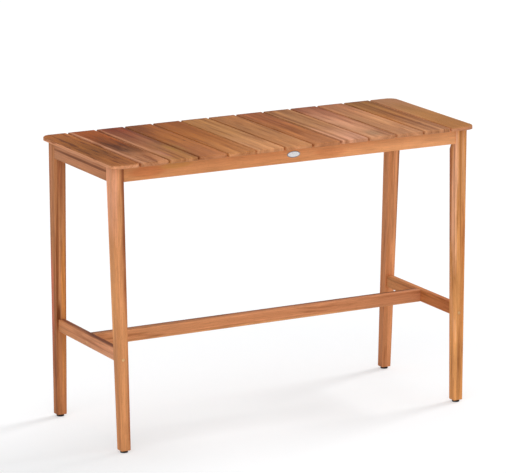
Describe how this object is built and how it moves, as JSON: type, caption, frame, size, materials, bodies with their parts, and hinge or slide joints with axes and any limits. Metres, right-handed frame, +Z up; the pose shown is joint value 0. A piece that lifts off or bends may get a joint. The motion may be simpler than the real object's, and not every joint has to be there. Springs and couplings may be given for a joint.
{
  "type": "bar table",
  "caption": "Tall bar table with a slatted rectangular top, aprons all round, tapered splayed legs, an H-shaped footrest and levelling feet.",
  "frame": {"origin": "on the floor, under the middle of the table", "axes": "+Z up, +X along the length of the top, the front with the oval plate faces -Y"},
  "size_m": [1.41, 0.568, 1],
  "materials": {
    "board_wood": "satin",
    "frame_wood": "satin",
    "hidden_wood": "matte",
    "black_plastic": "matte",
    "zinc_steel": "satin",
    "brass_bolts": "satin"
  },
  "bodies": {
    "frame": {"centre_slat_rail": "hidden_wood", "corner_block_screws": "zinc_steel", "cross_dowel_nuts": "zinc_steel", "foot_sleeves": "zinc_steel", "front_apron": "frame_wood", "front_left_corner_block": "hidden_wood", "front_left_leg": "frame_wood", "front_right_corner_block": "hidden_wood", "front_right_leg": "frame_wood", "front_slat_rail": "hidden_wood", "hanger_bolts": "zinc_steel", "hanger_nuts": "zinc_steel", "hanger_washers": "zinc_steel", "left_end_apron": "frame_wood", "left_end_slat_rail": "hidden_wood", "left_stretcher": "frame_wood", "long_stretcher": "frame_wood", "rail_screws": "zinc_steel", "rear_apron": "frame_wood", "rear_left_corner_block": "hidden_wood", "rear_left_leg": "frame_wood", "rear_right_corner_block": "hidden_wood", "rear_right_leg": "frame_wood", "rear_slat_rail": "hidden_wood", "right_end_apron": "frame_wood", "right_end_slat_rail": "hidden_wood", "right_stretcher": "frame_wood", "slat_screws": "zinc_steel", "stretcher_bolts": "brass_bolts", "top_board_01": "board_wood", "top_board_02": "board_wood", "top_board_03": "board_wood", "top_board_04": "board_wood", "top_board_05": "board_wood", "top_board_06": "board_wood", "top_board_07": "board_wood", "top_board_08": "board_wood", "top_board_09": "board_wood", "top_board_10": "board_wood", "top_board_11": "board_wood", "top_board_12": "board_wood", "top_board_13": "board_wood", "wooden_dowels": "hidden_wood"},
    "front_left_pad": {"front_left_foot_pad": "black_plastic"},
    "front_left_stud": {"front_left_foot_stud": "zinc_steel"},
    "front_right_pad": {"front_right_foot_pad": "black_plastic"},
    "front_right_stud": {"front_right_foot_stud": "zinc_steel"},
    "rear_left_pad": {"rear_left_foot_pad": "black_plastic"},
    "rear_left_stud": {"rear_left_foot_stud": "zinc_steel"},
    "rear_right_pad": {"rear_right_foot_pad": "black_plastic"},
    "rear_right_stud": {"rear_right_foot_stud": "zinc_steel"}
  },
  "joints": [
    {"name": "front_left_foot_height", "type": "slide", "parent": "frame", "child": "front_left_pad", "axis": [0, 0, -1], "range_m": [0, 0.01]},
    {"name": "front_left_stud_turn", "type": "hinge", "parent": "front_left_pad", "child": "front_left_stud", "pos_m": [-0.6566, -0.25065, 0.02], "axis": [0, 0, -1], "range_deg": [0, 2880]},
    {"name": "front_right_foot_height", "type": "slide", "parent": "frame", "child": "front_right_pad", "axis": [0, 0, -1], "range_m": [0, 0.01]},
    {"name": "front_right_stud_turn", "type": "hinge", "parent": "front_right_pad", "child": "front_right_stud", "pos_m": [0.6566, -0.25065, 0.02], "axis": [0, 0, -1], "range_deg": [0, 2880]},
    {"name": "rear_left_foot_height", "type": "slide", "parent": "frame", "child": "rear_left_pad", "axis": [0, 0, -1], "range_m": [0, 0.01]},
    {"name": "rear_left_stud_turn", "type": "hinge", "parent": "rear_left_pad", "child": "rear_left_stud", "pos_m": [-0.6566, 0.25065, 0.02], "axis": [0, 0, -1], "range_deg": [0, 2880]},
    {"name": "rear_right_foot_height", "type": "slide", "parent": "frame", "child": "rear_right_pad", "axis": [0, 0, -1], "range_m": [0, 0.01]},
    {"name": "rear_right_stud_turn", "type": "hinge", "parent": "rear_right_pad", "child": "rear_right_stud", "pos_m": [0.6566, 0.25065, 0.02], "axis": [0, 0, -1], "range_deg": [0, 2880]}
  ],
  "couplings": [
    {"joint": "front_left_foot_height", "follows": "front_left_stud_turn", "m_per_rad": 0.00019894},
    {"joint": "front_right_foot_height", "follows": "front_right_stud_turn", "m_per_rad": 0.00019894},
    {"joint": "rear_left_foot_height", "follows": "rear_left_stud_turn", "m_per_rad": 0.00019894},
    {"joint": "rear_right_foot_height", "follows": "rear_right_stud_turn", "m_per_rad": 0.00019894}
  ]
}
